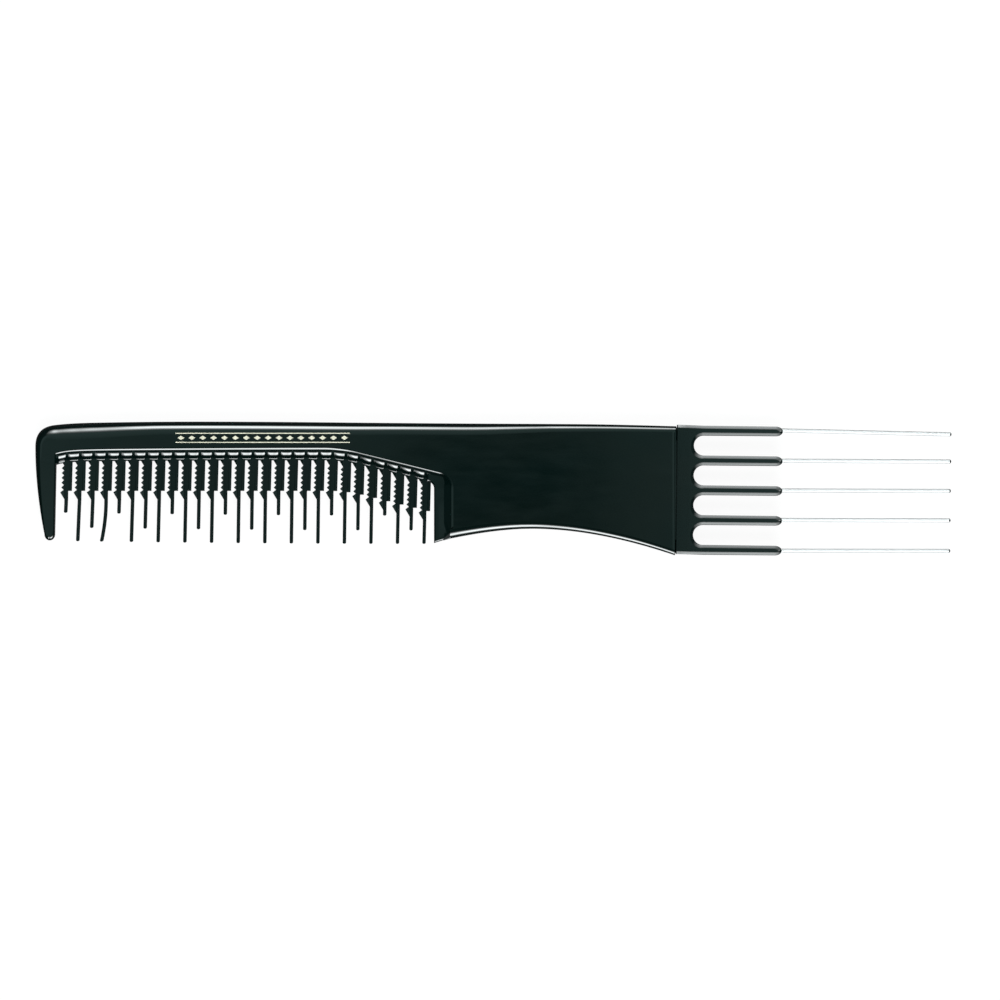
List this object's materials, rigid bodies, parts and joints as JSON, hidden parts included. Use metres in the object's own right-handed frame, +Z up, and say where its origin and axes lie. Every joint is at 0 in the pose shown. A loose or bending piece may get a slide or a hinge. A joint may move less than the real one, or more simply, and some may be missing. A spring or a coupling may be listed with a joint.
{
  "type": "teasing comb with a lifting fork",
  "caption": "Black teasing comb with serrated teeth of mixed lengths, a flat waisted handle and a lifting fork of steel pins.",
  "frame": {"origin": "under the middle of the whole comb, on the surface it lies on", "axes": "+X runs along the comb from the end guard to the pin tips, +Y from the tooth tips to the spine, +Z is up through the thickness"},
  "size_m": [0.203, 0.0298, 0.0042],
  "materials": {
    "comb": "polished",
    "fork": "polished",
    "pins": "polished"
  },
  "bodies": {
    "root": {"comb_body": "comb", "lift_fork": "fork", "lift_pin_1": "pins", "lift_pin_2": "pins", "lift_pin_3": "pins", "lift_pin_4": "pins", "lift_pin_5": "pins"}
  },
  "joints": []
}
